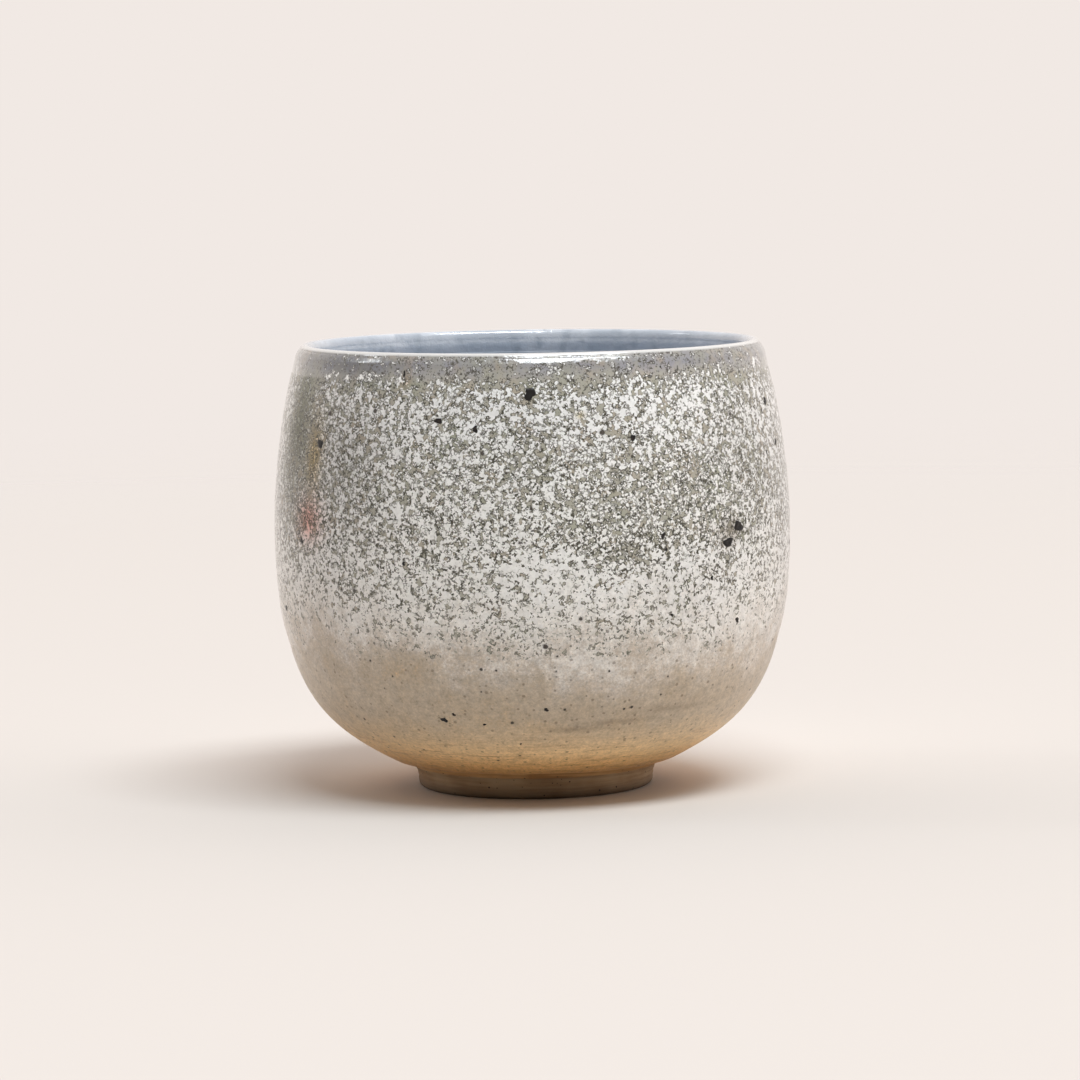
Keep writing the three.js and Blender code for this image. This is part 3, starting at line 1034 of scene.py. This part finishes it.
def strewn_spots(chance):
    """Spots that chance strews over the far side, in the columns of the list: most are small, and the larger
    ones have a crater."""
    width = 0.35 + 1.0 * chance.random(STREWN_SPOTS) ** 3
    angle = chance.uniform(60, 300, STREWN_SPOTS)
    height = chance.uniform(10, 71, STREWN_SPOTS)
    tall = chance.uniform(0.7, 1.3, STREWN_SPOTS)
    return np.stack([angle, height, width, tall, 0.6 * (width > 0.9)], axis=-1)


def iron_spots():
    """Blisters with a ragged round edge, whose radius is 1 plus three sines of the angle round it. Their top
    is the dome sqrt(1 - s^2) over the share s of that radius, with a crater exp(-(s / width)^2) pressed in its
    middle, and their root is sunk in the glaze."""
    chance = np.random.default_rng(11)
    spots = np.vstack([np.array(IRON_SPOTS), strewn_spots(chance)])
    angle, height, width, tall, hollow = spots.T[:, :, None, None]
    turn = angles(SPOT_COLUMNS)
    phase = chance.uniform(0, 2 * np.pi, (3, len(spots), 1, 1))
    edge = 1 + wavering(turn, *zip(EDGE_SIZES, EDGE_WAVES, phase))
    share = np.concatenate([np.linspace(1, 0, SPOT_RINGS), [0, 0.8]])[:, None]
    crater = 1 - CRATER_DEPTH * hollow * np.exp(-((share / CRATER_WIDTH) ** 2))
    dome = SPOT_RISE * width * np.sqrt(1 - share**2) * crater - SPOT_SUNK
    rise = np.where(np.arange(len(share))[:, None] < SPOT_RINGS, dome, -SPOT_ROOT)
    reach = share * edge * width / 2
    along = up_outside(height * MM) + reach * np.sin(turn) * tall * MM
    wall = np.interp(along, clay_arc, clay_line[:, 0])
    angle = np.radians(angle) + reach * np.cos(turn) * MM / wall
    glazed = np.maximum(mottled_depth(along, angle), BASE_COAT)
    radius, level = lifted(along, glazed + rise * MM, angle)
    return shells("iron_spots", round_axis(radius, angle, level))


def iron_glass():
    """Finish of the spots: black glass that thins to brown in places."""
    constants = {"Roughness": 0.2, "Specular IOR Level": 0.3}
    finish, tree, shader, place = new_finish("iron_glass", constants)
    browned = eased(tree, cloud(tree, place, 1.6, 2.0), 0.45, 0.7)
    glass = mixed(tree, browned, fired(*IRON_BLACK), fired(*IRON_BROWN))
    tree.links.new(glass, shader.inputs["Base Color"])
    bump(tree, shader, cloud(tree, place, 3.0, 2.0), 0.05)
    return finish


spots = iron_spots()
spots.data.materials.append(iron_glass())
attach(spots, "root")


# Floor
# A plain sheet of pale paper, laid flat under the cup. It takes the cup's shadow, and towards its edge it
# fades out into the pale studio round it.
FLOOR_RADIUS = 0.9
FLOOR_FADE = 0.3
PAPER = (207, 202, 197)


def floor_paper():
    """Matt cream paper that turns see-through towards its rim."""
    constants = {"Base Color": fired(*PAPER), "Roughness": 1.0, "Specular IOR Level": 0.0}
    finish, tree, shader, place = new_finish("floor_paper", constants)
    away = node(tree, "VectorMath", {0: place}, operation="LENGTH").outputs["Value"]
    tree.links.new(eased(tree, away, FLOOR_RADIUS / MM, FLOOR_FADE / MM), shader.inputs["Alpha"])
    return finish


bpy.ops.mesh.primitive_circle_add(vertices=96, radius=FLOOR_RADIUS, fill_type="NGON")
floor = bpy.context.object
floor.name = "floor"
floor.data.materials.append(floor_paper())


# Studio light
# A broad window high at the right front and a narrow one at the left give a cool light and the highlights on
# the lip. The cream walls behind the cup and at both its sides fill the shadows with a warm light.
STUDIO_CREAM = (241, 233, 228)
WALL_LEVEL = 1.3
WARM_WHITE = (1.0, 0.885, 0.83, 1.0)
COOL_WHITE = (0.94, 1.0, 1.04)
WINDOW_DISTANCE = 10.0


def pale_room():
    """World: the cream of the studio for what is seen and mirrored. All else is lit by a warm white, which
    rises from nothing to the walls' level with the part of the direction that points away from the camera,
    plus 0.8 of its part to either side and 0.2 of its part to the right."""
    world = bpy.data.worlds.new("pale_room")
    world.use_nodes = True
    tree = world.node_tree
    tree.nodes.clear()
    rays = node(tree, "LightPath").outputs
    mirrored = calc(tree, "MAXIMUM", rays["Is Glossy Ray"], rays["Is Transmission Ray"])
    seen = calc(tree, "MAXIMUM", rays["Is Camera Ray"], mirrored)
    direction = node(tree, "SeparateXYZ", {0: node(tree, "TexCoord").outputs["Generated"]}).outputs
    sideways = calc(tree, "MULTIPLY", calc(tree, "ABSOLUTE", direction[0]), 0.8)
    facing = total(tree, direction[1], sideways, calc(tree, "MULTIPLY", direction[0], 0.2))
    level = eased(tree, facing, -0.2, 0.8, 0.0, WALL_LEVEL)
    light = node(tree, "Background", {"Strength": level, "Color": WARM_WHITE})
    cream = node(tree, "Background", {"Color": fired(*STUDIO_CREAM), "Strength": 1.0})
    both = node(tree, "MixShader", {0: seen, 1: light.outputs[0], 2: cream.outputs[0]})
    node(tree, "OutputWorld", {"Surface": both.outputs[0]})
    return world


def window(name, azimuth, elevation, width, height, power):
    """A broad lamp turned to the cup: its -Z points from where it hangs to the origin."""
    azimuth, elevation = np.radians([azimuth, elevation])
    lamp = bpy.data.lights.new(name, "AREA")
    lamp.shape = "RECTANGLE"
    lamp.size = width
    lamp.size_y = height
    lamp.energy = power
    lamp.color = COOL_WHITE
    hung = bpy.data.objects.new(name, lamp)
    hung.location = WINDOW_DISTANCE * round_axis(np.cos(elevation), azimuth, np.sin(elevation))
    hung.rotation_euler = (np.pi / 2 - elevation, 0, azimuth)
    bpy.context.scene.collection.objects.link(hung)


bpy.context.scene.world = pale_room()
window("broad_window", azimuth=33, elevation=67, width=7.2, height=3.2, power=900.0)
window("narrow_window", azimuth=-100, elevation=33, width=1.2, height=2.4, power=45.0)


# Camera
# A little above the cup and looking slightly down at it, from the photograph's viewing angle, through a long
# lens. It is rolled by just under a degree.
CAMERA_PLACE = (1.264 * MM, -0.8, 0.1163)
CAMERA_PITCH = 0.094
CAMERA_ROLL = 0.015
CAMERA_LENS = 160.35

camera = bpy.data.objects.new("camera", bpy.data.cameras.new("camera"))
camera.data.lens = CAMERA_LENS
camera.location = CAMERA_PLACE
camera.rotation_mode = "ZYX"
camera.rotation_euler = (np.pi / 2 - CAMERA_PITCH, 0, -CAMERA_ROLL)
bpy.context.scene.collection.objects.link(camera)
bpy.context.scene.camera = camera
bpy.context.scene.view_settings.view_transform = "Standard"
